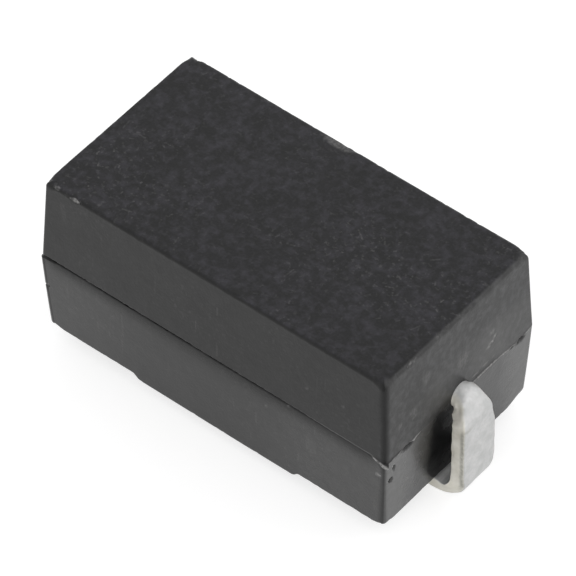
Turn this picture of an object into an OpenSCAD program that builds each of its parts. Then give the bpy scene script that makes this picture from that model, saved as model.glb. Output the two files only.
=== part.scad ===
// Surface-mount wirewound power resistor, in millimetres.
// X runs along the body, Z points up from the board, and z = 0 is the plane of the solder faces.
// Inside the moulded body a wire is wound on a ceramic rod between two pressed caps. A round lead
// is welded to each cap, leaves the body at its parting line, is coined flat and formed under it.

/* [Moulded body] */
// Length along X at the parting line
body_l = 17.5; // [16:0.1:22]
// Width along Y at the parting line
body_w = 9.4; // [8.6:0.1:12]
// Height of the half above the parting line
upper_h = 4.25; // [3.8:0.05:6]
// Height of the half below the parting line, where the leads are
lower_h = 4.1; // [3.8:0.05:6]
// Draft of the walls away from the parting line, in degrees
draft = 2.5; // [0.5:0.25:4]
// Radius of the upright corners
corner_r = 0.2; // [0.2:0.05:1]
// Radius of the edges round the top face
top_edge_r = 0.12; // [0.04:0.02:0.18]
// Radius of the edges round the underside
bottom_edge_r = 0.18; // [0.04:0.02:0.18]
// Height of the witness groove where the two moulded halves meet
parting_h = 0.12; // [0.04:0.02:0.2]
// Depth of the witness groove
parting_depth = 0.07; // [0.02:0.01:0.15]

/* [Underside pad] */
// Length of the raised middle of the underside, at its root
pad_l = 8.6; // [5:0.1:10]
// Height of the raised middle
pad_h = 0.25; // [0.1:0.05:0.5]
// Run of the slope at each end of the raised middle
pad_slope = 0.4; // [0.1:0.05:1]
// How far the pad's long sides stand in from the body's sides
pad_inset = 0.03; // [0.01:0.01:0.5]

/* [Leads] */
// Diameter of the round lead inside the body
lead_d = 1.1; // [0.8:0.05:1.3]
// Width of the coined strip
strip_w = 2; // [1.5:0.05:3]
// Thickness of the coined strip
strip_t = 0.6; // [0.4:0.01:0.8]
// Radius of the strip's long edges
strip_edge_r = 0.14; // [0.05:0.01:0.18]
// Distance from the body's end to the outer face of the leg
leg_reach = 1.1; // [1.05:0.05:2]
// Length of round lead that shows before the coining starts
neck_l = 0.05; // [0.02:0.01:0.08]
// Slope of the shoulder between the body and the leg, in degrees
shoulder_slope = 39; // [20:1:60]
// Inner radius of the bend where the lead leaves the body
neck_bend_r = 0.06; // [0.03:0.01:0.1]
// Inner radius of the bend at the top of the leg
leg_bend_r = 0.25; // [0.1:0.01:0.3]
// Length of the leg over which the strip still widens
coined_l = 0.4; // [0.2:0.05:0.8]
// Inner radius of the bend between the leg and the foot
foot_bend_r = 0.7; // [0.3:0.01:0.8]
// Length of the flat foot, from the bend to the toe
foot_l = 1.8; // [1:0.1:3]
// Gap between the foot and the underside of the body above it
foot_gap = 0.26; // [0.05:0.01:1]

/* [Wound element] */
// Thickness of the compound between each cap and the body's end
end_wall = 2.05; // [1.5:0.05:3]
// Diameter of the ceramic rod
core_d = 5; // [3.5:0.1:5.4]
// Chamfer at the ends of the rod
core_chamfer = 0.25; // [0.1:0.05:0.5]
// Sheet thickness of the end caps
cap_t = 0.3; // [0.2:0.05:0.5]
// Outside length of an end cap
cap_l = 2.3; // [1.8:0.1:3]
// Outer corner radius of an end cap
cap_corner_r = 0.22; // [0.1:0.02:0.3]
// Diameter of the resistance wire
wire_d = 0.16; // [0.1:0.02:0.24]
// Turns of the winding, from cap to cap
turns = 24; // [10:1:28]
// Length along the rod over which the wire climbs from the rod to a cap
wire_climb = 0.36; // [0.2:0.02:0.6]
// Length along a cap that the welded wire covers
wire_weld = 0.5; // [0.2:0.05:0.9]

/* [Clearances] */
// Radial gap between pieces that are pressed or moulded together
fit_gap = 0.02; // [0.01:0.01:0.05]
// Gap between the winding and the moulding round it
winding_gap = 0.1; // [0.08:0.01:0.2]

/* [Hidden] */
$fn = 64;

// Fineness of the rounded mouldings, the shoulder's loft and the wire
moulding_fn = 32;
edge_steps = 5;
neck_bend_steps = 5;
slope_steps = 2;
leg_bend_steps = 7;
coined_steps = 6;
strip_corner_steps = 5;
wire_turn_steps = 20;
wire_sides = 6;

// How far the loft's two ends stay inside the sections that they join
loft_step = 0.004;

// Heights above the board
end_bottom_z = strip_t + foot_gap;
parting_z = end_bottom_z + lower_h;

// The wound element, along X
element_l = body_l - 2 * end_wall;
core_l = element_l - 2 * cap_t;
cap_bore_r = core_d / 2 + fit_gap;
cap_r = cap_bore_r + cap_t;
cap_rim_x = element_l / 2 - cap_l;
wire_r = wire_d / 2;
wire_end_x = cap_rim_x + wire_weld;
winding_bore_r = cap_r + wire_d + winding_gap;
winding_bore_l = 2 * (wire_end_x + wire_r + winding_gap);

// The lead's route in the plane y = 0
neck_x = body_l / 2 + neck_l;
leg_x = body_l / 2 + leg_reach - strip_t / 2;
neck_turn_r = neck_bend_r + lead_d / 2;
leg_turn_r = leg_bend_r + strip_t / 2;
slope_x = neck_x + neck_turn_r * sin(shoulder_slope);
slope_z = parting_z - neck_turn_r * (1 - cos(shoulder_slope));
slope_end_x = leg_x - leg_turn_r * (1 - sin(shoulder_slope));
slope_end_z = slope_z - (slope_end_x - slope_x) * tan(shoulder_slope);
leg_top_z = slope_end_z - leg_turn_r * cos(shoulder_slope);
coined_end_z = leg_top_z - coined_l;
foot_r = foot_bend_r + strip_t / 2;
foot_bend_x = leg_x - foot_r;
foot_bend_z = strip_t / 2 + foot_r;

function mix(a, b, t) = a + (b - a) * t;
function ease(t) = let (u = min(max(t, 0), 1)) u * u * (3 - 2 * u);

// Half of a drafted block: its largest outline is at z = 0, its rounded end face at z = h
module drafted_half(h, edge_r) {
    inset = h * tan(draft);
    hull()
        for (sx = [-1, 1], sy = [-1, 1]) {
            translate([sx * (body_l / 2 - corner_r), sy * (body_w / 2 - corner_r), 0])
                cylinder(r = corner_r, h = parting_h / 2, $fn = moulding_fn);
            translate([sx * (body_l / 2 - inset - corner_r), sy * (body_w / 2 - inset - corner_r), h])
                edge_dome(edge_r);
        }
}

// Corner of a moulding, turned about its upright axis, with its rounded rim just under z = 0
module edge_dome(edge_r) {
    rim = [for (i = [0 : edge_steps]) let (a = 90 * i / edge_steps)
        [corner_r - edge_r + edge_r * cos(a), edge_r * sin(a) - edge_r]];
    rotate_extrude($fn = moulding_fn)
        polygon(concat([[0, -edge_r]], rim, [[0, 0]]));
}

// Plate outline with true round corners
module rounded_rect(l, w, r) {
    square([l - 2 * r, w], center = true);
    square([l, w - 2 * r], center = true);
    for (sx = [-1, 1], sy = [-1, 1])
        translate([sx * (l / 2 - r), sy * (w / 2 - r)])
            circle(r);
}

// Raised middle of the underside, with sloping ends, from inside the lower half down to the pad face
module underside_pad() {
    face_inset = (lower_h + pad_h) * tan(draft) + pad_inset;
    root_inset = (lower_h - pad_h) * tan(draft) + pad_inset;
    root_l = pad_l + 2 * pad_slope;
    hull()
        for (sx = [-1, 1], sy = [-1, 1]) {
            translate([sx * (root_l / 2 - corner_r), sy * (body_w / 2 - root_inset - corner_r), -lower_h + pad_h])
                cylinder(r = corner_r, h = parting_h, $fn = moulding_fn);
            translate([sx * (pad_l / 2 - pad_slope - corner_r),
                       sy * (body_w / 2 - face_inset - corner_r), -lower_h - pad_h])
                mirror([0, 0, 1])
                    edge_dome(bottom_edge_r);
        }
}

// Hollow that the wound element and its leads take up, along X about the parting line
module element_cavity() {
    rotate([0, 90, 0]) {
        cylinder(r = winding_bore_r, h = winding_bore_l, center = true);
        cylinder(r = cap_r + fit_gap, h = element_l, center = true);
        cylinder(r = lead_d / 2 + fit_gap, h = body_l + 2 * neck_l, center = true);
    }
}

module moulded_body() {
    half_rise = parting_h / 2;
    color([0.17, 0.17, 0.18])
        translate([0, 0, parting_z])
            difference() {
                union() {
                    translate([0, 0, half_rise])
                        drafted_half(upper_h - half_rise, top_edge_r);
                    mirror([0, 0, 1])
                        translate([0, 0, half_rise])
                            drafted_half(lower_h - half_rise, bottom_edge_r);
                    underside_pad();
                    translate([0, 0, -half_rise])
                        linear_extrude(parting_h)
                            rounded_rect(body_l - 2 * parting_depth, body_w - 2 * parting_depth,
                                         corner_r - parting_depth);
                }
                element_cavity();
            }
}

module ceramic_core() {
    r = core_d / 2;
    half_l = core_l / 2;
    c = core_chamfer;
    color([0.92, 0.9, 0.85])
        translate([0, 0, parting_z])
            rotate([0, 90, 0])
                rotate_extrude()
                    polygon([[0, -half_l], [r - c, -half_l], [r, -half_l + c],
                             [r, half_l - c], [r - c, half_l], [0, half_l]]);
}

// Deep-drawn cap on the +X end of the rod
module end_cap() {
    color([0.72, 0.72, 0.7])
        translate([element_l / 2 - cap_l, 0, parting_z])
            rotate([0, 90, 0])
                rotate_extrude()
                    difference() {
                        union() {
                            square([cap_r, cap_l - cap_corner_r]);
                            square([cap_r - cap_corner_r, cap_l]);
                            translate([cap_r - cap_corner_r, cap_l - cap_corner_r])
                                circle(cap_corner_r);
                        }
                        square([cap_bore_r, cap_l - cap_t]);
                    }
}

module end_cap_left() {
    mirror([1, 0, 0])
        end_cap();
}

module end_cap_right() {
    end_cap();
}

// Distance of the wire's middle from the rod's axis at a place along the rod
function wire_path_r(x) =
    mix(core_d / 2, cap_r, ease((abs(x) - cap_rim_x + wire_r + fit_gap) / wire_climb + 1)) + wire_r + fit_gap;

// One helix from cap to cap; its straight steps are drawn wide enough to clear what they lie on
module resistance_wire() {
    steps = turns * wire_turn_steps;
    widen = 1 / cos(180 / wire_turn_steps);
    points = [for (i = [0 : steps], k = [0 : wire_sides - 1])
        let (x = mix(-wire_end_x, wire_end_x, i / steps),
             turn = 360 * i / wire_turn_steps,
             side = 360 * k / wire_sides,
             r = wire_path_r(x) * widen + wire_r * cos(side))
        [x + wire_r * sin(side), r * cos(turn), r * sin(turn)]];
    color([0.62, 0.6, 0.56])
        translate([0, 0, parting_z])
            tube(points, steps + 1, wire_sides);
}

// Closed skin over rings of points that follow one another
module tube(points, rings, sides) {
    walls = [for (i = [0 : rings - 2], k = [0 : sides - 1])
        let (a = i * sides + k, b = i * sides + (k + 1) % sides)
        each [[a, b, b + sides], [a, b + sides, a + sides]]];
    first = [for (k = [0 : sides - 1]) sides - 1 - k];
    last = [for (k = [0 : sides - 1]) (rings - 1) * sides + k];
    polyhedron(points, concat([first], walls, [last]));
}

// Outline of a strip with round corners: half width a, half thickness b, corner radius r
function strip_ring(a, b, r) =
    [for (quarter = [0 : 3], j = [0 : strip_corner_steps])
        let (angle = 90 * (quarter + j / strip_corner_steps),
             u = quarter == 0 || quarter == 3 ? a - r : r - a,
             v = quarter < 2 ? b - r : r - b)
        [u + r * cos(angle), v + r * sin(angle)]];

// Middle of the shoulder as [x, z, heading below level]: a bend, the slope, a bend and the top of the leg
function shoulder_route() =
    concat([for (i = [0 : neck_bend_steps]) let (h = shoulder_slope * i / neck_bend_steps)
                [neck_x + neck_turn_r * sin(h), parting_z - neck_turn_r * (1 - cos(h)), h]],
           [for (i = [1 : slope_steps - 1]) let (t = i / slope_steps)
                [mix(slope_x, slope_end_x, t), mix(slope_z, slope_end_z, t), shoulder_slope]],
           [for (i = [0 : leg_bend_steps]) let (h = mix(shoulder_slope, 90, i / leg_bend_steps))
                [leg_x - leg_turn_r * (1 - sin(h)), leg_top_z + leg_turn_r * cos(h), h]],
           [for (i = [1 : coined_steps])
                [leg_x, mix(leg_top_z, coined_end_z, i / coined_steps), 90]]);

// Coined blend from the round lead to the flat strip: flat halfway round the leg's bend, wide further down
module shoulder() {
    route = shoulder_route();
    rings = len(route);
    flat_at = neck_bend_steps + slope_steps + leg_bend_steps / 2;
    points = [for (i = [0 : rings - 1])
        let (wide = ease(i / (rings - 1)),
             flat = ease(i / flat_at),
             a = mix(lead_d, strip_w, wide) / 2 - loft_step,
             b = mix(lead_d, strip_t, flat) / 2 - loft_step,
             r = mix(lead_d / 2 - 2 * loft_step, strip_edge_r, flat),
             h = route[i][2])
        each [for (p = strip_ring(a, b, r))
            [route[i][0] + p[1] * sin(h), -p[0], route[i][1] + p[1] * cos(h)]]];
    tube(points, rings, 4 * (strip_corner_steps + 1));
}

// Lead at the +X end: round to the neck, coined shoulder, straight leg, bend and flat foot
module lead() {
    color([0.8, 0.8, 0.77]) {
        translate([element_l / 2, 0, parting_z])
            rotate([0, 90, 0])
                cylinder(d = lead_d, h = neck_x - element_l / 2);
        shoulder();
        translate([leg_x, 0, foot_bend_z])
            linear_extrude(coined_end_z - foot_bend_z)
                rounded_rect(strip_t, strip_w, strip_edge_r);
        translate([foot_bend_x, 0, foot_bend_z])
            rotate([-90, 0, 0])
                rotate_extrude(angle = 90)
                    translate([foot_r, 0])
                        rounded_rect(strip_t, strip_w, strip_edge_r);
        translate([foot_bend_x - foot_l, 0, strip_t / 2])
            rotate([0, 90, 0])
                linear_extrude(foot_l)
                    rounded_rect(strip_t, strip_w, strip_edge_r);
    }
}

module lead_left() {
    mirror([1, 0, 0])
        lead();
}

module lead_right() {
    lead();
}

moulded_body();
ceramic_core();
resistance_wire();
end_cap_left();
end_cap_right();
lead_left();
lead_right();
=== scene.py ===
# %% [markdown]
# # A moulded wirewound resistor for surface mounting
#
# The part is a black block of epoxy, moulded in two drafted halves round a wire-wound ceramic rod.
# A tinned lead leaves each end at the parting line, is coined flat there and is folded under the block.
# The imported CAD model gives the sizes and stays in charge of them. This script adds what the CAD leaves
# plain: the worn and speckled skin, the ragged flash of the mould, and the uneven, cloudy tin.

import bmesh
import bpy
import numpy as np
from mathutils import Matrix, Vector


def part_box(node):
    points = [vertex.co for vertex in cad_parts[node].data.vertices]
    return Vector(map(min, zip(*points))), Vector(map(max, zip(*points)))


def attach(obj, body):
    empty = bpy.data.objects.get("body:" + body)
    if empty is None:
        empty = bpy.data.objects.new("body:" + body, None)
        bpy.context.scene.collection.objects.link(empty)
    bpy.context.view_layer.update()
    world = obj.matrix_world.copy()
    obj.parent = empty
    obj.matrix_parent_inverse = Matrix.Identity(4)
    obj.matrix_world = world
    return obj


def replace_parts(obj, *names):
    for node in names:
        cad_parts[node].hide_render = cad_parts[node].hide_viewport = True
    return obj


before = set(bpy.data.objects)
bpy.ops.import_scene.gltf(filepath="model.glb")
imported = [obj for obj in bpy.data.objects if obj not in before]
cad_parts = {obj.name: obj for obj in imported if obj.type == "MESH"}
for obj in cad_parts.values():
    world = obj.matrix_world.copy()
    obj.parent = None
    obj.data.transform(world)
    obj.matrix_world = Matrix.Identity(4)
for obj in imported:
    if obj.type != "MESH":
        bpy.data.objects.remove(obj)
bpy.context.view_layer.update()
mm = 0.001

# %% [markdown]
# ## Sizes
#
# Lengths are in millimetres until a mesh is made, because the part is small and such numbers are easy
# to compare with a ruler. The boxes of the CAD nodes give the block's outside, the height of the
# parting line, which is the axis of the rod, and the reach of the leads. They could be typed in again,
# but read from the model they can't drift away from it.

# %% Read the sizes from the CAD boxes
def box_mm(node):
    """The lowest and the highest corner of a CAD node's box, in millimetres."""
    return [np.array(corner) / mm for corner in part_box(node)]


body_low, body_high = box_mm("moulded_body")
core_low, core_high = box_mm("ceramic_core")
cap_low, cap_high = box_mm("end_cap_right")
lead_high = box_mm("lead_right")[1]
half_l, half_w, top_z = body_high
parting_z = (core_low[2] + core_high[2]) / 2
PAD_H = 0.25
bottom_z = body_low[2] + PAD_H
print("block", np.round([2 * half_l, 2 * half_w, top_z], 3), "parting line at", round(parting_z, 3))

# %% [markdown]
# ## Tools for surfaces
#
# Every new piece is a grid of points: columns run round an outline and rows follow a path or a
# profile. Three helpers do the common work. One makes an outline with round corners, one makes a
# smooth random ripple for everything that is uneven, and one turns a grid into a closed mesh. Blender's
# own primitives would need many edits by hand, while a grid is one array that a formula fills.

# %% An outline with round corners
CORNERS = np.array([(1, -1), (1, 1), (-1, 1), (-1, -1)], float)


def outline(side_steps, corner_steps):
    """Columns round a rectangle with round corners, anticlockwise from its +X side.

    Each column has a place c in the square from -1 to 1, which all columns of a corner share, and an
    outward direction n. With half sizes h and a corner radius r, the point is c * (h - r) + n * r.
    side_steps holds, for each of the four sides, places between 0 and 1 along it.
    """
    turn = np.linspace(0, np.pi / 2, corner_steps + 1)
    places, directions = [], []
    for side, steps in enumerate(side_steps):
        start, end = CORNERS[side], CORNERS[(side + 1) % 4]
        angle = np.concatenate([np.zeros(len(steps)), turn]) + side * np.pi / 2
        along = np.concatenate([steps, np.ones(len(turn))])
        places.append(start + (end - start) * along[:, None])
        directions.append(np.stack([np.cos(angle), np.sin(angle)], 1))
    return np.concatenate(places), np.concatenate(directions)


def spread(count, near=(), width=0.05, gain=6.0):
    """Steps between 0 and 1 that crowd near some places: they share out evenly the running total of
    a density, which is one plus a bell of the given gain and width at each place."""
    fine = np.linspace(0, 1, 4001)
    bells = np.exp(-((fine[:, None] - np.array(near, float)) / width) ** 2).sum(1)
    total = np.cumsum(1 + gain * bells)
    share = (total - total[0]) / (total[-1] - total[0])
    return np.interp(np.linspace(0, 1, count + 2)[1:-1], share, fine)


# %% A smooth random ripple
def ripple(points, wavelength, seed, waves=14):
    """Smooth noise of about -1 to 1 at points in millimetres: a sum of sine waves whose directions,
    phases and lengths, all near the given wavelength, are drawn from one seed."""
    draw = np.random.default_rng(seed)
    direction = draw.normal(size=(waves, 3))
    direction /= np.linalg.norm(direction, axis=1, keepdims=True) * wavelength
    direction *= draw.uniform(0.7, 1.4, (waves, 1))
    phase = draw.uniform(0, 2 * np.pi, waves)
    return np.sin(points @ direction.T * 2 * np.pi + phase).sum(-1) / np.sqrt(2 * waves)


def ease(t):
    """A step from 0 to 1 that starts and ends level: 3 t squared less 2 t cubed."""
    t = np.clip(t, 0, 1)
    return t * t * (3 - 2 * t)


# %% From a grid of points to a mesh
# Points closer than this, in millimetres, are welded, and edges sharper than the crease shade as sharp
WELD, CREASE = 0.0005, np.radians(50)


def grid_piece(name, points, attributes=None):
    """A closed mesh from points[row, column] in millimetres: each cell is a quad, the columns wrap
    round, and rows that shrink to a line or a point are welded there."""
    rows, columns = points.shape[:2]
    index = np.arange(rows * columns).reshape(rows, columns)
    near, far = index[:-1], index[1:]
    quads = np.stack([near, np.roll(near, -1, 1), np.roll(far, -1, 1), far], -1).reshape(-1, 4)
    mesh = bpy.data.meshes.new(name)
    mesh.vertices.add(rows * columns)
    mesh.vertices.foreach_set("co", (points * mm).astype(np.float32).ravel())
    mesh.loops.add(quads.size)
    mesh.loops.foreach_set("vertex_index", quads.astype(np.int32).ravel())
    mesh.polygons.add(len(quads))
    mesh.polygons.foreach_set("loop_start", np.arange(0, quads.size, 4, dtype=np.int32))
    mesh.update(calc_edges=True)
    for key, values in (attributes or {}).items():
        layer = mesh.attributes.new(key, "FLOAT", "POINT")
        on_grid = np.broadcast_to(values, (rows, columns))
        layer.data.foreach_set("value", on_grid.astype(np.float32).ravel())
    work = bmesh.new()
    work.from_mesh(mesh)
    bmesh.ops.remove_doubles(work, verts=work.verts, dist=WELD * mm)
    work.to_mesh(mesh)
    work.free()
    mesh.shade_smooth()
    piece = bpy.data.objects.new(name, mesh)
    bpy.context.scene.collection.objects.link(piece)
    print(name, "has", len(mesh.polygons), "faces")
    return piece


def capped(points):
    """The same grid with its first and last rows closed, each by a row at the middle of its ring."""
    first, last = (np.repeat(points[[i]].mean(1, keepdims=True), points.shape[1], 1) for i in (0, -1))
    return np.concatenate([first, points, last])


# %% [markdown]
# ## Columns of the block
#
# Seen from above the block is a rectangle with round corners. Columns crowd at the corners and where
# the mould left flash and pinholes. The rounding of the top and bottom edges differs from column to
# column: the long edges are crisp, the edges over and under the right-hand lead are softer, and the
# corners are worn like those of a used dice, the bottom one behind that lead most of all.
#
# One way would be a bevel with weights on its edges. Radii given for each column do the same in one
# line and can change smoothly along an edge.

# %% Columns round the block
CORNER_R = 0.12
long_steps = spread(200, near=(0, 0.1, 1), width=0.02)
end_steps = spread(170, near=(0.06, 0.14, 0.9), width=0.03, gain=2.0)
back_steps = spread(76, near=(0, 1), width=0.03)
place, outward = outline([end_steps, 1 - long_steps[::-1], back_steps, long_steps], corner_steps=9)
print(len(place), "columns round the block")


# %% Rounding of the edges, column by column
def towards(axis, side, start):
    """How near a column is to one side of the square: 0 up to the start, then easing up to 1."""
    return ease((side * place[:, axis] - start) / (1 - start))


right_end, left_end = towards(0, 1, 0.98), towards(0, -1, 0.98)
by_right, by_left = towards(0, 1, 0.93), towards(0, -1, 0.93)
by_front, by_back = towards(1, -1, 0.87), towards(1, 1, 0.87)
any_corner = (by_right + by_left) * (by_front + by_back)
near_corner, left_corner = by_right * by_front, by_left * by_front
far_corner = towards(0, 1, 0.85) * towards(1, 1, 0.72)
TOP_EDGE_R, BOTTOM_EDGE_R = 0.15, 0.07
top_edge_r = TOP_EDGE_R + 0.1 * right_end - 0.07 * left_end + 0.2 * any_corner
bottom_edge_r = (BOTTOM_EDGE_R + 0.07 * right_end + 0.33 * far_corner + 0.11 * left_corner
                 + 0.1 * near_corner)
print("edge radii up to", round(top_edge_r.max(), 3), "on top and", round(bottom_edge_r.max(), 3), "below")

# %% [markdown]
# ## Rows of the block
#
# The rows climb from the middle line of the underside, out to its rounded edge, up the lower wall,
# across the parting line, up the upper wall, over the top edge and in to the middle line of the top.
# Both walls lean in with the draft that lets the block leave its mould. Each row has a step inwards
# from the outline, a height, the tilt of its outward direction, how much it takes off the corner
# radius, and, on the flat faces, how far it is on its way to the middle line.
#
# A cube with a Bevel modifier would be quicker, but its faces would be too large for the marks of the
# mould. A list of rows puts many of them at the parting line and few where the wall is plain.

# %% Profile up the block
DRAFT = np.tan(np.radians(2.5))
edge_turn = np.linspace(0, np.pi / 2, 9)[:, None]
rings = np.linspace(0, 1, 15)[1:, None] ** 1.7
witness = np.concatenate([np.linspace(0.01, 0.1, 8), [0.12, 0.15, 0.2, 0.26, 0.33, 0.42, 0.55]])[:, None]
print(len(witness), "rows on each side of the parting line")


def rows(inset, height, tilt, shrink, ring):
    """Rows of the profile for every column; single numbers hold for all of them."""
    values = np.broadcast_arrays(inset, height, tilt, shrink, ring, place[:, 0])[:5]
    return np.stack(values, -1).astype(float)


def wall(heights):
    """A drafted wall: the step inwards grows with the distance from the parting line."""
    away = heights - parting_z
    return rows(np.abs(away) * DRAFT, heights, np.sign(away) * np.arctan(DRAFT), 0, 0)


def end_face(edge_z, radius, side):
    """The rounded edge and the flat face above (side 1) or below (side -1) a wall that ends at edge_z.

    The edge is a quarter circle: it steps in by r times one less the cosine of its turn, and goes up or
    down by r times the sine. The flat face then runs in to the middle line.
    """
    inset = np.abs(edge_z - parting_z) * DRAFT
    step_in = radius * (1 - np.cos(edge_turn))
    arc = rows(inset + step_in, edge_z + side * radius * np.sin(edge_turn), side * edge_turn, step_in, 0)
    flat = rows(inset + radius + (half_w - inset - radius) * rings, edge_z + side * radius,
                side * np.pi / 2, radius, rings)
    return np.concatenate([arc, flat])


# %% Stack the rows
lower_edge, upper_edge = bottom_z + bottom_edge_r, top_z - top_edge_r
WITNESS_BAND, PINHOLE_ROWS, SCRATCH_ROW = 0.6, (0.66, 0.78), 0.17
lower_steps = spread(36, near=(0, *PINHOLE_ROWS, 1), width=0.04, gain=7.0)[:, None]
lower_wall = lower_edge + (parting_z - WITNESS_BAND - lower_edge) * lower_steps
upper_steps = spread(28, near=(SCRATCH_ROW, 1), width=0.06, gain=5.0)[:, None]
upper_wall = parting_z + WITNESS_BAND + (upper_edge - parting_z - WITNESS_BAND) * upper_steps
profile = np.concatenate([end_face(lower_edge, bottom_edge_r, -1)[::-1], wall(lower_wall),
                          wall(parting_z - witness[::-1]), wall(np.array([[parting_z]])),
                          wall(parting_z + witness), wall(upper_wall),
                          end_face(upper_edge, top_edge_r, 1)])
inset, height, tilt, shrink, ring = np.moveaxis(profile, -1, 0)
print(len(profile), "rows from", height.min(), "to", height.max())

# %% [markdown]
# ## The skin of the block
#
# The skin is the outline at each row, stepped inwards. The middle of the underside stands lower than
# its ends, with a slope between them, so rows near the bottom drop there. That low pad could be a second
# box joined on, but a skin that bends stays one closed mesh.

# %% Outline at each row
PAD_HALF_L, PAD_SLOPE, CORNER_WEAR = 4.3, 0.4, 0.1
half = np.array([half_l, half_w]) - inset[..., None]
lowness = np.clip((parting_z - height) / (parting_z - bottom_z), 0, 1)
corner_r = CORNER_R + CORNER_WEAR * (far_corner + left_corner + near_corner) * lowness ** 3
radius = (np.maximum(corner_r - shrink, 0.02) * (1 - ring))[..., None]
across = place * (half - radius) + outward * radius
pad = ease((PAD_HALF_L - np.abs(across[..., 0])) / PAD_SLOPE)
skin = np.dstack([across, height - PAD_H * pad * lowness ** 6])
normal = np.dstack([outward * np.cos(tilt)[..., None], np.sin(tilt)])
print("skin", skin.shape, "lowest", skin[..., 2].min())

# %% [markdown]
# ## Parting line, flash and chips
#
# Where the two halves of the mould met, the epoxy shows a fine groove on the sides, and the lower half
# steps back a hair under it. At the right-hand end it squeezed out instead and left a low ragged lip
# with a pale broken rim, which sags towards the corners and ends in a sliver at the near one. The
# halves don't quite meet at the left-hand end, where the lower one stands out. Handling chipped some
# edges and air left a few pinholes.
#
# Each could be modelled by hand. Here they are steps along the outward direction, worked out for the
# whole grid at once, so that the mesh stays closed and every mark is one line of numbers.

# %% Where the flash lip runs
LIP_H = 0.075
x, y, z = np.moveaxis(skin, -1, 0)
on_front = (place[:, 1] < -0.999) & (outward[:, 1] < -0.7)
on_end = (place[:, 0] > 0.999) & ~on_front
# Distance round the outline from the near corner: along the end it counts up, along the front down
round_corner = np.where(on_front, x - half_l, np.where(on_end, y + half_w, -99))
lip_at = [-0.7, -0.45, -0.1, 0.25, 0.6, 0.9, 1.2, 1.65, 1.95, 2.3, 5.5, 5.8, 6.9, 7.3, 7.8, 8.4, 8.8, 9.3]
lip_out = [0, 0.05, 0.08, 0.05, 0.04, 0.04, 0.04, 0.035, 0.02, 0, 0, 0.045, 0.04, 0.02, 0.03, 0.04, 0.03, 0]
lip_sag = [0, 0.03, 0.1, 0.16, 0.12, 0.12, 0.13, 0.12, 0.06, 0, 0, 0, 0, 0.03, 0.1, 0.15, 0.09, 0]
ragged = ripple(skin, 0.35, seed=3)
off_parting = z - parting_z + 0.012 * ragged
lip = np.interp(round_corner, lip_at, lip_out) * (1 + 0.4 * ragged + 0.3 * ripple(skin, 0.12, seed=4))
lip = np.maximum(lip, 0)
lip_shape = np.clip(1 - np.abs(off_parting) / LIP_H, 0, 1)
print("lip stands out up to", round(float((lip * lip_shape).max()), 3), "mm")

# %% Groove, steps and wear at the parting line
GROOVE_H, GROOVE_DEPTH, WITNESS_H = 0.1, 0.14, 0.55
LEAST_LIP, SET_BACK, MISMATCH = 0.015, 0.09, 0.08
groove = GROOVE_DEPTH * (1 - 0.8 * ease((x - 1) / 6) * on_front) * (1 - on_end)
groove = groove * np.clip(0.9 + 0.3 * ripple(skin, 1.1, seed=5) + 0.3 * ripple(skin, 0.3, seed=6), 0, 1.5)
groove_shape = np.clip(1 - (off_parting / GROOVE_H) ** 2, 0, 1)
groove = groove * groove_shape * (lip < LEAST_LIP)
away_from_ends = ease((8.5 - np.abs(x)) / 0.8)
set_back = SET_BACK * np.exp(off_parting / 0.3) * (off_parting < 0) * on_front * away_from_ends
mismatch = MISMATCH * np.clip(-outward[:, 0], 0, 1) * ease(0.5 - off_parting / 0.1)
step = lip * lip_shape - groove - set_back + mismatch
# Wear and painted shade go to the material: 1 where the skin is broken and pale,
# -1 where the groove or a hollow is painted dark as shade
wear_and_shade = np.clip(lip / 0.03, 0, 1.4) * lip_shape * np.clip(0.9 + 0.9 * ragged, 0, 1.5) - 3.3 * groove
sag = np.interp(round_corner, lip_at, lip_sag) * np.clip(1 - np.abs(off_parting) / WITNESS_H, 0, 1)
sliver = lip_shape * np.clip(1 - np.abs(round_corner) / 0.16, 0, 1)
skin = skin + sliver[..., None] * np.array([0.26, -0.07, 0]) - sag[..., None] * np.array([0, 0, 1])
print("groove is up to", round(float(groove.max()), 3), "mm deep")
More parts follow.
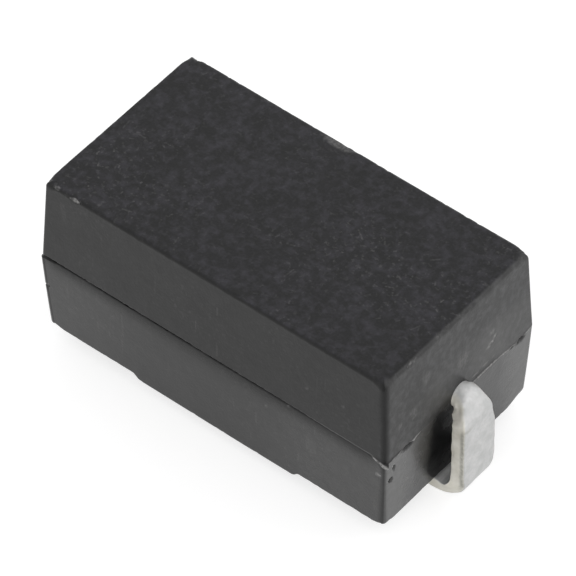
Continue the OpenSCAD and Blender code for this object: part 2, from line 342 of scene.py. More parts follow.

# %% Chips, scuffs and pinholes
# Middle with its height from the parting line, half size along x, y and z, depth, and wear, where a
# negative wear paints the chip or pinhole dark as shade
MARKS = [
    ((8.74, -3.32, -0.18), (0.4, 0.38, 0.14), 0.12, -0.9),
    ((8.74, 3.86, -0.20), (0.4, 0.34, 0.14), 0.12, -0.9),
    ((8.74, 3.30, -0.16), (0.4, 0.12, 0.06), 0.06, -0.8),
    ((8.68, -4.25, -1.35), (0.4, 0.13, 0.12), 0.26, -1.0),
    ((8.72, -4.10, -0.70), (0.4, 0.09, 0.08), 0.12, -0.9),
    ((8.62, -2.80, 4.21), (0.16, 0.42, 0.12), 0.05, 1.0),
    ((8.62, -1.20, 4.21), (0.14, 0.30, 0.10), 0.03, 0.6),
    ((8.60, -4.50, 4.20), (0.20, 0.20, 0.20), 0.05, -0.5),
    ((-7.04, -4.52, 4.21), (0.30, 0.12, 0.12), 0.06, 1.0),
    ((-8.05, -4.50, 4.21), (0.34, 0.16, 0.10), 0.03, 0.6),
    ((-0.95, 4.32, 4.25), (0.85, 0.22, 0.10), 0.01, 0.32),
    ((-8.60, -4.60, -1.75), (0.16, 0.16, 0.09), 0.15, 0.2),
    ((8.70, 1.86, 1.08), (0.3, 0.15, 0.09), 0.015, 0.9),
    ((8.70, 2.05, 1.21), (0.3, 0.15, 0.09), 0.015, 0.9),
    ((8.70, 2.26, 1.38), (0.3, 0.13, 0.11), 0.010, 0.7),
    ((8.69, 2.10, 1.75), (0.3, 0.16, 0.12), 0.010, 0.45),
    ((8.74, 1.00, 0.26), (0.4, 0.22, 0.06), 0.0, 0.5),
    ((8.74, 1.65, 0.31), (0.4, 0.20, 0.06), 0.0, 0.45),
    ((8.73, 2.15, 0.36), (0.4, 0.16, 0.06), 0.0, 0.4),
    ((8.40, -4.68, -0.88), (0.20, 0.3, 0.06), 0.01, 0.6),
    ((2.74, -4.68, -0.89), (0.10, 0.3, 0.08), 0.005, 0.25),
    ((3.87, -4.70, -0.16), (0.10, 0.3, 0.08), 0.005, 0.25),
    ((4.80, -4.64, 1.57), (0.11, 0.3, 0.09), 0.005, 0.25),
    ((6.55, -4.63, 1.73), (0.10, 0.3, 0.10), 0.005, 0.25),
    ((5.31, -4.68, 0.50), (0.09, 0.3, 0.08), 0.005, 0.22),
    ((8.68, 0.22, 1.67), (0.4, 0.42, 0.50), 0.0, 0.24),
    ((8.64, -1.98, 2.60), (0.4, 0.32, 0.40), 0.0, 0.22),
    ((8.69, -2.86, 1.34), (0.4, 0.30, 0.40), 0.0, 0.22),
    ((8.69, -3.70, 1.30), (0.4, 0.16, 0.20), 0.0, 0.22),
]
warp = np.dstack([ripple(skin, 0.22, seed=seed) for seed in (7, 8, 9)])
from_parting = skin - [0, 0, parting_z]
for middle, size, depth, tone in MARKS:
    reach = np.linalg.norm((from_parting - np.array(middle)) / size + 0.25 * warp, axis=-1)
    hollow = ease((1.15 - reach) / 0.7)
    step = step - depth * hollow
    wear_and_shade = wear_and_shade + tone * hollow
print(len(MARKS), "marks")

# %% [markdown]
# ## Edges and tones of the block
#
# The edges are nibbled, and the flat faces are not quite flat. Three more values go along with the wear and
# painted shade for the material: whether the skin is on the top, how glossy it is below the parting line,
# and how pale. Below the line the end is paler, apart from a painted shadow behind the lead, where no light
# gets in and which has a negative value. Above the line a painted glare, a paler cloud, surrounds the lead.
#
# These tones could be painted by hand. As formulas of the place they need no picture and stay smooth.

# %% Uneven edges
NIBBLE, FLAT_WAVE = 0.045, 0.006
on_edge = np.sin(2 * tilt) ** 2
nibble = np.clip(ripple(skin, 0.5, seed=11) + 0.8 * ripple(skin, 0.17, seed=12) - 0.3, 0, 1.6)
top_edge = on_edge * (tilt > 0)
step = step - NIBBLE * on_edge * nibble
# Pale chips on the nibbled top edges, and a painted dark reflection along the top edge of the front
wear_and_shade = wear_and_shade + 0.3 * np.clip(nibble - 0.3, 0, 1) * top_edge - 0.45 * top_edge * on_front
# The upright edge at the near corner is darker than the walls beside it
from_corner = ((1 - np.abs(place)) * [half_l, half_w]).max(1)
near_upright = (place[:, 1] < 0) * (place[:, 0] > 0) * np.exp(-(from_corner / 0.17) ** 2)
near_upright = near_upright * np.where(on_end & (z < parting_z), 0.3, 1) * np.cos(tilt) ** 2
wear_and_shade = np.clip(wear_and_shade - 0.7 * near_upright * (wear_and_shade < 0.3), -1, 1)
flat_wave = FLAT_WAVE * ripple(skin, 5.0, seed=13)
skin = skin + normal * (step + flat_wave)[..., None]
print("edges are nibbled up to", round(NIBBLE * float(nibble.max()), 3), "mm deep")

# %% Top, gloss, paleness and painted light
top_face = ease((np.sin(tilt) - 0.6) / 0.35) * (1 - 0.8 * top_edge * right_end)
by_the_ends = np.abs(x) > half_l - 0.3
shaded_behind_lead = ease((3.9 - np.abs(y)) / 1.4) * by_the_ends
front_middle = np.exp(-((x + 0.8) / 4.2) ** 4) * on_front
# Below the parting line; on the front it comes in over 0.8 mm, so that the wall just under the line is
# darker, a painted shade
below = np.where(on_front, ease(-off_parting / 0.8), ease(0.5 - off_parting / 0.06))
less_on_front = (0.68 - 0.12 * ease((x - 2) / 5)) * on_front + 0.26 * front_middle
# Paler below the parting line, less so on the front, and hardly at all in the painted shade behind the
# leads
paleness_and_painted_light = below * (1 - less_on_front) * (1 - 0.95 * shaded_behind_lead)
paleness_and_painted_light = np.maximum(paleness_and_painted_light, 0.55 * right_end * (tilt > 0.06) * np.cos(tilt))
# Painted glare: a pale cloud above the parting line, strongest on the +Y side of the lead
glare_y = [-2.9, -2.1, -1.35, -0.6, 0.2, 0.9, 1.6, 2.5, 3.2, 4.2, 4.7]
glare_share = [0, 0.4, 0.75, 0.5, 0.1, 0.5, 0.75, 0.8, 0.5, 0.5, 0.4]
painted_glare = np.interp(y, glare_y, glare_share) * ease((2.9 - off_parting) / 1.6) * (off_parting > 0) * right_end
paleness_and_painted_light = np.maximum(paleness_and_painted_light, painted_glare * np.where(y < 0, ease((off_parting + 0.1) / 0.8), 1))
# Painted shadow: the end wall behind the lead is darkened towards black near and under the parting line
paleness_and_painted_light = paleness_and_painted_light - 0.6 * ease((2.8 - np.abs(y)) / 0.6) * shaded_behind_lead * ease(0.75 - off_parting / 0.8)
gloss = below * (1 - 0.55 * ease((3.3 + y) / 0.9) * ease(1.5 - y) * by_the_ends)
tones = {"wear_and_shade": wear_and_shade, "top_face": top_face, "gloss": gloss, "paleness_and_painted_light": paleness_and_painted_light}
block = grid_piece("moulded_block", skin, tones)

# %% [markdown]
# ## The hollow for the wound rod
#
# The compound closes round the rod, its caps and the leads. The hollow is turned about the axis of the
# rod like work on a lathe: a short profile of steps, carried round in a circle. The holes could be sewn
# into the end walls by hand. An exact Boolean is safer here, because both solids are closed, and it
# opens the two round holes for the leads as well.

# %% Turn the hollow and cut it out
LEAD_R, FIT_GAP = 0.55, 0.02
WINDING_ROOM, WELD_ROOM, PAST_END, BORE_SIDES = 0.26, 0.68, 0.5, 96
winding_bore_r = cap_high[1] + WINDING_ROOM
winding_end = cap_low[0] + WELD_ROOM
steps_x = np.array([half_l + PAST_END, cap_high[0], cap_high[0], winding_end, winding_end])
steps_r = np.array([LEAD_R, LEAD_R, cap_high[1], cap_high[1], winding_bore_r - FIT_GAP]) + FIT_GAP


def turned(axial, radii, sides):
    """A turned solid along X: the profile's radii are carried round the axis, and both ends close."""
    angle = np.linspace(0, 2 * np.pi, sides, endpoint=False)
    axial = np.concatenate([axial[:1], axial, axial[-1:]])[:, None]
    radii = np.concatenate([[0], radii, [0]])[:, None]
    return np.dstack([axial + 0 * angle, radii * np.cos(angle), parting_z + radii * np.sin(angle)])


hollow_tool = grid_piece("hollow_tool", turned(np.concatenate([-steps_x, steps_x[::-1]]),
                                               np.concatenate([steps_r, steps_r[::-1]]), BORE_SIDES))
cut = block.modifiers.new("hollow", "BOOLEAN")
cut.object, cut.operation, cut.solver = hollow_tool, "DIFFERENCE", "EXACT"
bpy.context.view_layer.update()
cut_mesh = bpy.data.meshes.new_from_object(block.evaluated_get(bpy.context.evaluated_depsgraph_get()))
block.modifiers.clear()
block.data = cut_mesh
bpy.data.objects.remove(hollow_tool)
cut_mesh.name = "moulded_block"
cut_mesh.shade_smooth()
cut_mesh.set_sharp_from_angle(angle=CREASE)
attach(block, "root")
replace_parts(block, "moulded_body")
print("block with its hollow has", len(cut_mesh.polygons), "faces")

# %% [markdown]
# ## The formed leads
#
# A lead starts as a round wire, welded to the cap. Outside the block a press flattens it to a strip
# and a tool folds it: over a shoulder, down a straight leg and under the block to a flat foot. The
# press did not hit it squarely, so the metal spread sooner on one side.
#
# A curve with a bevel could make a strip, but not one whose profile changes. So one profile is carried
# along one path: it turns from a circle into a wide strip with sheared edges on the way down the
# shoulder, and bulges a little inside the bend at the foot. The path is made of straights and bends in
# the plane y = 0.

# %% Route of a lead
STRIP_HALF_W, STRIP_HALF_T, STRIP_EDGE_R = lead_high[1], 0.3, 0.14
SHOULDER = np.radians(39)
NECK_BEND, LEG_BEND, FOOT_BEND, FOOT_L = 0.61, 0.55, 0.9, 1.9
NECK_L = 0.05
neck_x = half_l + NECK_L
leg_x = lead_high[0] - STRIP_HALF_T


def bend(first, last, steps):
    """Headings of a bend, in steps from one heading to another, without its first."""
    return np.linspace(first, last, steps + 1)[1:]


def follow(start, parts):
    """Walks a route of parts, each a length and its headings below level, from a start point. Every
    step of a part goes in the mean direction of the headings at its two ends."""
    headings = np.concatenate([[0]] + [part[1] for part in parts])
    steps = np.concatenate([[0]] + [np.full(len(part[1]), part[0] / len(part[1])) for part in parts])
    middle = (headings + np.roll(headings, 1)) / 2
    walk = np.stack([steps * np.cos(middle), -steps * np.sin(middle)], 1)
    return start + np.cumsum(walk, 0), headings, np.cumsum(steps)


slope_run = leg_x - LEG_BEND * (1 - np.sin(SHOULDER)) - neck_x - NECK_BEND * np.sin(SHOULDER)
slope_l = slope_run / np.cos(SHOULDER)
leg_top = (parting_z - NECK_BEND * (1 - np.cos(SHOULDER)) - slope_l * np.sin(SHOULDER)
           - LEG_BEND * np.cos(SHOULDER))
leg_l = leg_top - STRIP_HALF_T - FOOT_BEND
print("shoulder slopes for", round(slope_l, 2), "mm and the leg is", round(leg_l, 2), "mm long")

# %% Walk the route
right_angle = np.pi / 2
lead_parts = [(neck_x - cap_high[0], np.zeros(10)),
              (NECK_BEND * SHOULDER, bend(0, SHOULDER, 14)),
              (slope_l, np.full(6, SHOULDER)),
              (LEG_BEND * (right_angle - SHOULDER), bend(SHOULDER, right_angle, 18)),
              (leg_l, np.full(52, right_angle)),
              (FOOT_BEND * right_angle, bend(right_angle, np.pi, 20)),
              (FOOT_L, np.full(20, np.pi))]
route, heading, travel = follow(np.array([cap_high[0], parting_z]), lead_parts)
print("lead is", round(travel[-1], 2), "mm long, toe at", np.round(route[-1], 3))

# %% Profile of a lead along its route
from_neck = (travel - (neck_x - cap_high[0]))[:, None]
thin_steps, wide_steps = np.linspace(0, 1, 8)[1:-1], np.linspace(0, 1, 20)[1:-1]
strip_place, strip_out = outline([thin_steps, wide_steps] * 2, corner_steps=8)


def mix(start, end, share):
    """From start to end, by a share of the way."""
    return start + (end - start) * share


# The press spread the metal sooner on the -Y side than on the other
near = strip_place[:, 0] < 0
soon = ease((from_neck - 0.02) / 1.05)
slowly = 0.7 * ease(from_neck / 2.3) + 0.3 * np.sin(np.clip(from_neck / 2.2, 0, 1) * np.pi / 2)
flat = ease(from_neck / 1.3)
squared = ease((from_neck + 0.05) / np.where(near, 0.5, 0.9))
half_width = mix(LEAD_R, STRIP_HALF_W + 0.08 * near, np.where(near, soon, slowly))
lean = 0.1 * ~near * ease((from_neck + 0.05) / 0.15) * (1 - ease(from_neck / 0.72))
half_thick = mix(LEAD_R, STRIP_HALF_T, np.where(strip_place[:, 1] < 0, ease(from_neck / 0.85), flat))
# Shearing left sharp edges, but for the outer one on the +Y side
edge_r = np.where(near, mix(0.3, 0.07, ease((from_neck - 0.5) / 0.6)), STRIP_EDGE_R + 0.06)
edge_r = mix(LEAD_R - 0.004, mix(0.05, edge_r, (strip_place[:, 1] + 1) / 2), squared)
thick = strip_place[:, 1] * (half_thick - edge_r) + strip_out[:, 1] * edge_r
wide = strip_place[:, 0] * (half_width - edge_r) + strip_out[:, 0] * edge_r + lean
# Bending squeezes the inner side of the strip out sideways and draws the outer side in
SQUEEZE = 0.16
foot_start = travel[-1] - FOOT_L - FOOT_BEND * right_angle
in_bend = ease(1 - np.abs((travel - foot_start) / (FOOT_BEND * right_angle) - 0.5))[:, None] ** 2
wide = wide * (1 - SQUEEZE * in_bend * thick / STRIP_HALF_T)
on_foot = ease((travel - travel[-1] + FOOT_L + 0.5) / 0.5)[:, None]
print("strip up to", round(float(np.ptp(wide, axis=1).max()), 3), "mm wide")

# %% Tones along a lead
# Values for the tin: how far round to the side a point faces, raised on the flank near the neck for
# painted light there, the painted shade of a dark line along the outer corners with a hook at its upper
# end, and the painted shade of the inner face, which sees little light
past_foot_start = travel[:, None] - foot_start
painted_flank_light = near * ease((0.25 - thick) / 0.25) * (1 - ease((from_neck - 0.4) / 0.6))
on_side = np.abs(strip_out[:, 0]) * ease((from_neck + 0.5) / 0.5) * (1 + painted_flank_light)
on_corner = np.clip(1 - np.abs(thick - 0.18) / 0.14, 0, 1) * (np.abs(strip_out[:, 0]) > 0.3)
on_corner = on_corner * ease((from_neck - 1.0) / 0.3) * (1 - ease((past_foot_start - 0.1) / 0.5))
hook = np.exp(-((from_neck - 1.12) / 0.07) ** 2) * (strip_out[:, 1] > 0.3) * ease((-0.5 - wide) / 0.35)
on_corner = np.maximum(on_corner, 0.6 * hook)
inner_shade = np.clip(-strip_out[:, 1], 0, 1) * ease((from_neck - 0.5) / 0.6)
inner_shade = inner_shade * (1 - ease((past_foot_start - 0.3) / 0.4))
lead_tones = {"side": on_side, "corner": on_corner, "inner_face_shade": inner_shade}
print(len(lead_tones), "tones along", len(travel), "rows")

# %% Make both leads
BURR, BURR_SIZE, BURR_H = np.array([8.97, -0.6, parting_z + 0.02]), np.array([0.15, 0.25, 0.16]), 0.05
SHEAR_BURR_H, PRESS_DENTS, TIN_LUMPS = 0.07, 0.012, 0.003


def lead_piece(name, side, seed):
    """The strip's profile at every step of the route: half width along Y, half thickness across the
    heading, plus the small unevenness of pressing and tinning. side mirrors it to the other end."""
    sine, cosine = np.sin(heading)[:, None], np.cos(heading)[:, None]
    grid = np.dstack([route[:, :1] + thick * sine, wide, route[:, 1:] + thick * cosine])
    across = np.dstack([strip_out[:, 1] * sine, strip_out[:, 0] + 0 * sine, strip_out[:, 1] * cosine])
    uneven = PRESS_DENTS * ripple(grid, 0.8, seed) + TIN_LUMPS * ripple(grid, 0.4, seed + 1)
    uneven = uneven * ease(from_neck / 0.4) * (1 - on_foot)
    burr = np.linalg.norm((grid - BURR) / BURR_SIZE, axis=-1)
    uneven = uneven + BURR_H * ease(1.2 - burr)
    grid = grid + across * uneven[..., None]
    shear_burr = near * (strip_place[:, 1] < -0.9) * ease((from_neck - 0.3) / 0.4) * (1 - on_foot)
    shear_burr = SHEAR_BURR_H * shear_burr * (1 + 0.15 * ripple(grid, 0.5, seed + 2))
    grid = grid - np.dstack([sine, 0 * sine, cosine]) * shear_burr[..., None]
    grid = capped(grid) * [side, 1, 1]
    # A mirrored grid takes its columns backwards, so that its faces still point outwards
    tones = {key: np.concatenate([value[:1], value, value[-1:]])[:, ::side]
             for key, value in lead_tones.items()}
    piece = grid_piece(name, grid[:, ::side], tones)
    piece.data.set_sharp_from_angle(angle=CREASE)
    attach(piece, "root")
    return piece


lead_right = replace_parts(lead_piece("formed_lead_right", 1, seed=21), "lead_right")
lead_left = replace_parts(lead_piece("formed_lead_left", -1, seed=31), "lead_left")

# %% [markdown]
# ## The winding
#
# Resistance wire runs in one helix along the ceramic rod and climbs onto both caps, where it is
# welded. Nobody sees it from outside, but it is what makes the part a resistor. The Screw modifier makes
# a helix of one radius only. So the wire is a small circle carried along the path with x in proportion
# to the turn, and with a radius that eases from the rod's up to the cap's at both ends.

# %% Wind the wire
WIRE_R, TURNS, CLIMB, WELD_L = 0.08, 24, 0.36, 0.5
STEPS_A_TURN, WIRE_SIDES = 40, 10
core_r, cap_r, rim_x = core_high[1], cap_high[1], cap_low[0]
wind = np.linspace(-1, 1, TURNS * STEPS_A_TURN + 1)[:, None]
wire_x = wind * (rim_x + WELD_L)
wire_turn = wind * TURNS * np.pi
climb = ease((np.abs(wire_x) - rim_x + WIRE_R + FIT_GAP) / CLIMB + 1)
wire_path_r = mix(core_r, cap_r, climb) + WIRE_R + FIT_GAP
section = np.linspace(0, 2 * np.pi, WIRE_SIDES, endpoint=False)
ring_r = wire_path_r + WIRE_R * np.cos(section)
helix = np.dstack([wire_x + WIRE_R * np.sin(section), ring_r * np.cos(wire_turn),
                   parting_z + ring_r * np.sin(wire_turn)])
winding = grid_piece("wound_wire", capped(helix))
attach(winding, "root")
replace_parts(winding, "resistance_wire")
print("wire is about", round(2 * np.pi * TURNS * core_r), "mm long")

# %% [markdown]
# ## Finishes
#
# Materials are node trees, which could be wired up in the shader editor. A script that wires them can be
# read and run again. A few helpers keep it short: one adds a node and fills its inputs with values or
# links, and others stretch, mix and cloud. Patterns read Object coordinates, turned into millimetres, so
# they stay on the surface wherever the part goes.

# %% Helpers for materials
def put(tree, kind, inputs=None, **settings):
    """Adds a shader node, applies its settings and feeds its inputs with values or sockets."""
    made = tree.nodes.new(kind)
    for key, value in settings.items():
        setattr(made, key, value)
    for key, value in (inputs or {}).items():
        if isinstance(value, bpy.types.NodeSocket):
            tree.links.new(value, made.inputs[key])
        else:
            made.inputs[key].default_value = value
    return made


def finish(name):
    """A new material: its tree, its shader, and Object coordinates in millimetres."""
    material = bpy.data.materials.new(name)
    material.use_nodes = True
    tree = material.node_tree
    where = put(tree, "ShaderNodeTexCoord").outputs["Object"]
    place_mm = put(tree, "ShaderNodeMapping", {"Vector": where, "Scale": (1 / mm,) * 3}).outputs[0]
    return material, tree, tree.nodes["Principled BSDF"], place_mm


def ramp(tree, value, low, high, to_low=0.0, to_high=1.0):
    """A value stretched so that low and high become to_low and to_high, and held there beyond."""
    return put(tree, "ShaderNodeMapRange", {"Value": value, "From Min": low, "From Max": high,
                                            "To Min": to_low, "To Max": to_high}).outputs[0]


def clouds(tree, place_mm, per_mm, detail=3.0, low=0.35, high=0.65, distortion=0.0):
    """Smooth random clouds from 0 to 1, with so many to the millimetre."""
    noise = put(tree, "ShaderNodeTexNoise", {"Vector": place_mm, "Scale": per_mm, "Detail": detail,
                                             "Distortion": distortion})
    return ramp(tree, noise.outputs[0], low, high)


def math(tree, operation, first, second, clamp=False):
    """One step of arithmetic on sockets or numbers."""
    inputs = {0: first, 1: second}
    return put(tree, "ShaderNodeMath", inputs, operation=operation, use_clamp=clamp).outputs[0]


def tint(tree, share, start, end):
    """A colour between two colours or sockets, by a share."""
    inputs = {"Factor": share, 6: start, 7: end}
    return put(tree, "ShaderNodeMix", inputs, data_type="RGBA", clamp_factor=True).outputs[2]


def bumped(tree, shader, height, depth_mm, strength=1.0):
    """Small relief on a surface: height is a pattern from 0 to 1, depth_mm its size."""
    inputs = {"Height": height, "Distance": depth_mm * mm, "Strength": strength}
    relief = put(tree, "ShaderNodeBump", inputs)
    tree.links.new(relief.outputs["Normal"], shader.inputs["Normal"])


def give_finish(piece, material):
    """Puts a material on a piece, in place of what it had."""
    piece.data.materials.clear()
    piece.data.materials.append(material)


# %% [markdown]
# ## Moulded epoxy
#
# The compound is nearly black and full of mineral flour. Most of what the eye sees on it is the soft
# reflection of the white surroundings, so its own colour is very dark and the shader's gloss does the
# rest. The top carries pale specks, short scratches and a cloudy mottle. The walls are smoother, and
# glossier below the parting line, as if that half of the mould was better polished.
#
# A painted picture would fix the pattern at one size. Noise stays sharp from close by, and the values
# that came along with the mesh say where it is paler, broken and pale, darkened by painted shade, or
# lightened by painted glare.

# %% Epoxy
epoxy, tree, shader, place_mm = finish("moulded_epoxy")
wear_and_shade_value, top_value, gloss_value, paleness_and_painted_light_value = (
    put(tree, "ShaderNodeAttribute", attribute_name=key).outputs["Fac"]
    for key in ("wear_and_shade", "top_face", "gloss", "paleness_and_painted_light"))
mottle = clouds(tree, place_mm, 0.9, detail=5.0, low=0.32, high=0.68)
blotch = clouds(tree, place_mm, 3.0, detail=4.0, low=0.44, high=0.72, distortion=0.2)
grain = clouds(tree, place_mm, 9.0, detail=3.0, low=0.3, high=0.7)
texture = math(tree, "ADD", math(tree, "MULTIPLY", mottle, 0.2), math(tree, "MULTIPLY", blotch, 0.6))
texture = math(tree, "ADD", texture, math(tree, "MULTIPLY", grain, 0.2))
along_x = put(tree, "ShaderNodeSeparateXYZ", {0: place_mm}).outputs[0]
end_value = ramp(tree, along_x, half_l - 0.4, half_l - 0.25)
front_colour = tint(tree, texture, (0.0, 0.0, 0.0, 1), (0.008, 0.0078, 0.0076, 1))
end_colour = tint(tree, texture, (0.0, 0.0, 0.0, 1), (0.055, 0.055, 0.057, 1))
upper_colour = tint(tree, end_value, front_colour, end_colour)
lower_colour = tint(tree, texture, (0.06, 0.06, 0.0595, 1), (0.088, 0.0875, 0.087, 1))
# Paler where the value is positive, which takes in the painted glare, and darkened towards black where it
# is negative, as painted shadow behind the leads
wall_colour = tint(tree, paleness_and_painted_light_value, upper_colour, lower_colour)
wall_colour = tint(tree, ramp(tree, paleness_and_painted_light_value, 0.0, -1.0), wall_colour, (0.0, 0.0, 0.0, 1))
top_texture = ramp(tree, texture, 0.12, 0.95)
top_colour = tint(tree, top_texture, (0.0, 0.0, 0.0004, 1), (0.024, 0.0227, 0.029, 1))
body_colour = tint(tree, top_value, wall_colour, top_colour)
print("epoxy base made")


# %% Specks and hairlines on the epoxy
def hairlines(tree, place_mm, per_mm, length, width, chance):
    """Short straight scratches: one to a random cell, turned by a random angle about its middle.

    Inside a cell the mask is the band |v| < width, as long as |u| < length times a random share, where
    u and v are the place from the cell's middle, turned. chance is the share of cells that have one.
    """
    cells = put(tree, "ShaderNodeTexVoronoi", {"Vector": place_mm, "Scale": per_mm})
    draw = put(tree, "ShaderNodeSeparateColor", {0: cells.outputs["Color"]}).outputs
    from_middle = {0: place_mm, 1: cells.outputs["Position"]}
    off = put(tree, "ShaderNodeVectorMath", from_middle, operation="SUBTRACT")
    angle = ramp(tree, draw[0], 0, 1, 0, 6.28)
    turned_off = put(tree, "ShaderNodeVectorRotate", {"Vector": off.outputs[0], "Angle": angle},
                     rotation_type="Z_AXIS")
    u, v = put(tree, "ShaderNodeSeparateXYZ", {0: turned_off.outputs[0]}).outputs[:2]
    band = ramp(tree, math(tree, "ABSOLUTE", v, 0.0), width, width * 0.3)
    reach = math(tree, "MULTIPLY", draw[1], length)
    inside = math(tree, "LESS_THAN", math(tree, "ABSOLUTE", u, 0.0), reach)
    chosen = math(tree, "LESS_THAN", draw[2], chance)
    return math(tree, "MULTIPLY", math(tree, "MULTIPLY", band, inside), chosen)


crowd = clouds(tree, place_mm, 0.28, detail=2.0, low=0.45, high=0.65)
specks = clouds(tree, place_mm, 5.0, detail=2.0, low=0.56, high=0.68)
lines = math(tree, "MAXIMUM", hairlines(tree, place_mm, 0.9, 0.3, 0.05, 0.3),
             hairlines(tree, place_mm, 2.1, 0.13, 0.05, 0.3))
marks = math(tree, "MULTIPLY", math(tree, "MAXIMUM", specks, math(tree, "MULTIPLY", lines, 1.6)),
             ramp(tree, crowd, 0.0, 1.0, 0.25, 1.0))
marks = math(tree, "MULTIPLY", marks, ramp(tree, top_value, 0.0, 1.0, 0.55, 1.0))
marks = math(tree, "MULTIPLY", marks, ramp(tree, grain, 0.0, 1.0, 0.01, 0.11))
pale_wear = math(tree, "MULTIPLY", ramp(tree, wear_and_shade_value, 0.05, 0.9),
                 ramp(tree, grain, 0.1, 0.8, 0.35, 1.0))
pale = math(tree, "MAXIMUM", marks, pale_wear)
# Painted shade from the negative wear, in the groove, the chips and pinholes and along the front's top
# edge; the upright edge at the near corner is darkened too
painted_shade = ramp(tree, wear_and_shade_value, -0.1, -0.8)
print("marks on the epoxy made")

# %% Colour, gloss and relief of the epoxy
colour = tint(tree, pale, body_colour, (0.33, 0.325, 0.32, 1))
colour = tint(tree, painted_shade, colour, (0.0008, 0.0008, 0.0008, 1))
rough = math(tree, "ADD", ramp(tree, mottle, 0.0, 1.0, 0.34, 0.42), math(tree, "MULTIPLY", pale, 0.4))
rough = math(tree, "SUBTRACT", rough, math(tree, "MULTIPLY", gloss_value, 0.26))
rough = math(tree, "ADD", rough, math(tree, "MULTIPLY", painted_shade, 0.3))
tree.links.new(colour, shader.inputs["Base Color"])
tree.links.new(rough, shader.inputs["Roughness"])
shader.inputs["IOR"].default_value = 1.4
relief = math(tree, "ADD", math(tree, "MULTIPLY", grain, 0.35), math(tree, "MULTIPLY", mottle, 0.65))
bumped(tree, shader, relief, depth_mm=0.006)
give_finish(block, epoxy)
print("epoxy has", len(tree.nodes), "nodes")

# %% [markdown]
# ## Dull tin
#
# The leads are dipped in tin, which sets cloudy and matt, and beige on the squeezed sides of the strip.
# The sides are painted lighter than the face for the dimmer light they get, most of all on the flank near
# the neck, and painted shade darkens a line along the outer corners and the inner face. A fully metallic
# shader would mirror the white room too clearly. Most of what such tin sends back is scattered, so the
# shader is only a fifth metal.

# %% Tin
tin, tree, shader, place_mm = finish("cloudy_tin")
side_value, corner_value, inner_face_shade_value = (
    put(tree, "ShaderNodeAttribute", attribute_name=key).outputs["Fac"] for key in lead_tones)
patches = clouds(tree, place_mm, 1.9, detail=4.0)
spots = clouds(tree, place_mm, 6.5, detail=3.0)
face = tint(tree, patches, (0.59, 0.595, 0.59, 1), (0.71, 0.705, 0.705, 1))
face = tint(tree, math(tree, "MULTIPLY", spots, 0.3), face, (0.54, 0.55, 0.53, 1))
# Beige sides, painted lighter than the face to make up for the dimmer light they get, and painted lighter
# still on the flank near the neck
side_colour = tint(tree, patches, (0.72, 0.695, 0.61, 1), (0.84, 0.815, 0.74, 1))
side_colour = tint(tree, ramp(tree, side_value, 1.0, 1.8), side_colour, (0.95, 0.915, 0.83, 1))
tin_colour = tint(tree, ramp(tree, side_value, 0.6, 0.97), face, side_colour)
# Painted shade: a dark line along the outer corners
corner_line_shade_share = math(tree, "MULTIPLY", ramp(tree, corner_value, 0.0, 0.7),
                  ramp(tree, spots, 0.0, 1.0, 0.55, 1.0))
tin_colour = tint(tree, corner_line_shade_share, tin_colour, (0.40, 0.395, 0.35, 1))
# Painted shade: the inner face goes nearly black
tin_colour = tint(tree, ramp(tree, inner_face_shade_value, 0.1, 0.9), tin_colour, (0.05, 0.049, 0.046, 1))
tree.links.new(tin_colour, shader.inputs["Base Color"])
tree.links.new(ramp(tree, spots, 0.0, 1.0, 0.42, 0.56), shader.inputs["Roughness"])
shader.inputs["Metallic"].default_value = 0.2
relief = math(tree, "ADD", math(tree, "MULTIPLY", patches, 0.7), math(tree, "MULTIPLY", spots, 0.3))
bumped(tree, shader, relief, depth_mm=0.02)
give_finish(lead_right, tin)
give_finish(lead_left, tin)
print("tin has", len(tree.nodes), "nodes")

# %% [markdown]
# ## What is inside
#
# The CAD shapes of the rod and the caps are right as they are, so they stay and only get a finish:
# chalky fired ceramic, and plated steel with the fine rings of deep drawing. The wire is bright
# nickel-chrome with faint drawing streaks. Both metals are clouds squeezed in one direction, so one
# function makes them.

# %% Ceramic
ceramic, tree, shader, place_mm = finish("fired_ceramic")
flecks = clouds(tree, place_mm, 7.0, detail=4.0)
broad = clouds(tree, place_mm, 0.8, detail=2.0)
body = tint(tree, broad, (0.78, 0.75, 0.68, 1), (0.86, 0.84, 0.78, 1))
fired = tint(tree, math(tree, "MULTIPLY", flecks, 0.25), body, (0.62, 0.57, 0.48, 1))
tree.links.new(fired, shader.inputs["Base Color"])
tree.links.new(ramp(tree, flecks, 0.0, 1.0, 0.7, 0.85), shader.inputs["Roughness"])
bumped(tree, shader, flecks, depth_mm=0.01)
give_finish(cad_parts["ceramic_core"], ceramic)
print("ceramic has", len(tree.nodes), "nodes")


# %% Cap steel and resistance wire
def drawn_metal(name, light, shade, along, rough_low, rough_high):
    """Metal with fine streaks: clouds squeezed across the direction of drawing, given by a scale."""
    material, tree, shader, place_mm = finish(name)
    stretched = put(tree, "ShaderNodeMapping", {"Vector": place_mm, "Scale": along}).outputs[0]
    streaks = clouds(tree, stretched, 1.0, detail=4.0)
    stain = clouds(tree, place_mm, 1.2, detail=3.0)
    blend = math(tree, "ADD", math(tree, "MULTIPLY", streaks, 0.5), math(tree, "MULTIPLY", stain, 0.5))
    tree.links.new(tint(tree, blend, shade, light), shader.inputs["Base Color"])
    tree.links.new(ramp(tree, streaks, 0.0, 1.0, rough_low, rough_high), shader.inputs["Roughness"])
    shader.inputs["Metallic"].default_value = 1.0
    bumped(tree, shader, streaks, depth_mm=0.004)
    print(name, "has", len(tree.nodes), "nodes")
    return material


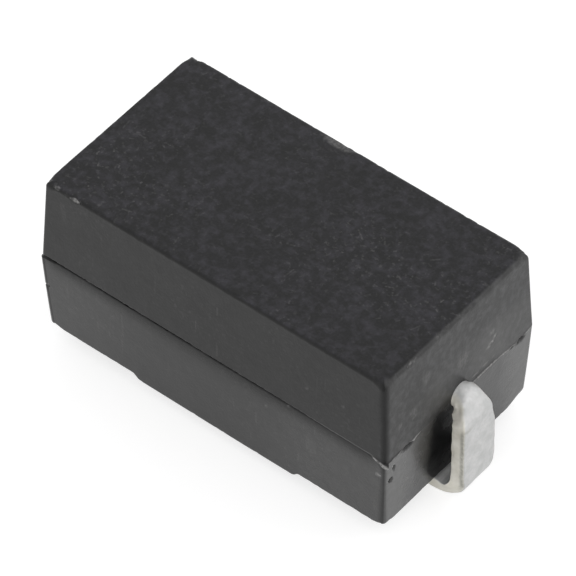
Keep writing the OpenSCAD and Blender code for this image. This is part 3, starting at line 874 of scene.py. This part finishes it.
cap_steel = drawn_metal("drawn_cap_steel", light=(0.66, 0.65, 0.62, 1), shade=(0.5, 0.49, 0.46, 1),
                        along=(14, 1, 1), rough_low=0.25, rough_high=0.4)
alloy = drawn_metal("resistance_alloy", light=(0.52, 0.5, 0.46, 1), shade=(0.4, 0.38, 0.34, 1),
                    along=(3, 6, 6), rough_low=0.28, rough_high=0.42)
for node_name in ("end_cap_left", "end_cap_right"):
    give_finish(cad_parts[node_name], cap_steel)
give_finish(winding, alloy)

# %% [markdown]
# ## Floor, light and camera
#
# The photograph has white all round, so the floor is white and so is the sky. The floor is partly
# paint, which takes the part's soft shadow, and partly a faint glow for rays that come from the camera
# or a shiny surface, so that it looks white and the gloss of the part shows it white too. A picture of a
# studio as the sky would draw its own shapes on the gloss, and this part shows none. Two broad soft
# lamps, one behind on the right and one in front, give the metal its light sides.
#
# The camera's direction, roll and lens were fitted to the corners of the block in the photograph.

# %% White floor and sky
def seen_or_shiny(tree):
    """One for rays from the camera, from gloss or through glass, and zero for the rest."""
    path = put(tree, "ShaderNodeLightPath").outputs
    first = math(tree, "MAXIMUM", path["Is Camera Ray"], path["Is Glossy Ray"])
    return math(tree, "MAXIMUM", first, path["Is Transmission Ray"])


FLOOR_PAINT, FLOOR_GLOW = 0.5, 0.68
floor_material = bpy.data.materials.new("white_floor")
floor_material.use_nodes = True
tree = floor_material.node_tree
tree.nodes.clear()
paint = put(tree, "ShaderNodeBsdfDiffuse", {"Color": (FLOOR_PAINT,) * 3 + (1,)})
glow_level = math(tree, "MULTIPLY", seen_or_shiny(tree), FLOOR_GLOW)
glow = put(tree, "ShaderNodeEmission", {"Color": (1, 1, 1, 1), "Strength": glow_level})
both = put(tree, "ShaderNodeAddShader", {0: paint.outputs[0], 1: glow.outputs[0]})
put(tree, "ShaderNodeOutputMaterial", {"Surface": both.outputs[0]})
FLOOR_HALF = 500
square = np.array([(-1, -1, 0), (1, -1, 0), (1, 1, 0), (-1, 1, 0)], float) * FLOOR_HALF * mm
floor_mesh = bpy.data.meshes.new("floor")
floor_mesh.from_pydata(square.tolist(), [], [(0, 1, 2, 3)])
floor_mesh.materials.append(floor_material)
floor = bpy.data.objects.new("floor", floor_mesh)
bpy.context.scene.collection.objects.link(floor)
print("floor", 2 * FLOOR_HALF, "mm square")

# %% Sky and lamps
world = bpy.data.worlds.new("white_sky")
bpy.context.scene.world = world
world.use_nodes = True
tree = world.node_tree
tree.nodes.clear()
SKY_LIGHT = 0.85
sky_level = ramp(tree, seen_or_shiny(tree), 0.0, 1.0, SKY_LIGHT, 1.0)
sky = put(tree, "ShaderNodeBackground", {"Color": (1, 1, 1, 1), "Strength": sky_level})
put(tree, "ShaderNodeOutputWorld", {"Surface": sky.outputs[0]})
LAMP_SIZE = 0.25


def soft_lamp(name, place, watts):
    """A broad round lamp at a place in metres, turned to face the part."""
    data = bpy.data.lights.new(name, "AREA")
    data.shape, data.size, data.energy = "DISK", LAMP_SIZE, watts
    lamp = bpy.data.objects.new(name, data)
    lamp.location = place
    lamp.rotation_euler = (-lamp.location).to_track_quat("-Z", "Y").to_euler()
    bpy.context.scene.collection.objects.link(lamp)
    print(name, "of", watts, "W")


soft_lamp("back_lamp", (0.26, 0.22, 0.28), 0.2)
soft_lamp("front_lamp", (0.12, -0.36, 0.16), 0.25)

# %% Camera at the photograph's angle
AZIMUTH, ELEVATION, ROLL = np.radians((39.34, 47.87, -0.27))
DISTANCE, LENS, SENSOR = 260, 409.7, 36
AIM = np.array([0.025, 0.067, parting_z + 0.032])
flat_back = np.array([np.sin(AZIMUTH), -np.cos(AZIMUTH), 0])
back = flat_back * np.cos(ELEVATION) + np.array([0, 0, np.sin(ELEVATION)])
level = np.array([np.cos(AZIMUTH), np.sin(AZIMUTH), 0])
upright = np.cross(back, level)
right = np.cos(ROLL) * level + np.sin(ROLL) * upright
up = np.cos(ROLL) * upright - np.sin(ROLL) * level
camera_data = bpy.data.cameras.new("camera")
camera_data.lens, camera_data.sensor_width = LENS, SENSOR
camera_data.clip_start = 0.01
camera = bpy.data.objects.new("camera", camera_data)
turned_axes = Matrix(np.stack([right, up, back], 1).tolist()).to_4x4()
camera.matrix_world = Matrix.Translation(Vector((AIM + back * DISTANCE) * mm)) @ turned_axes
bpy.context.scene.collection.objects.link(camera)
bpy.context.scene.camera = camera
bpy.context.scene.view_settings.view_transform = "Standard"
print("camera at", np.round(np.array(camera.location) / mm, 2))
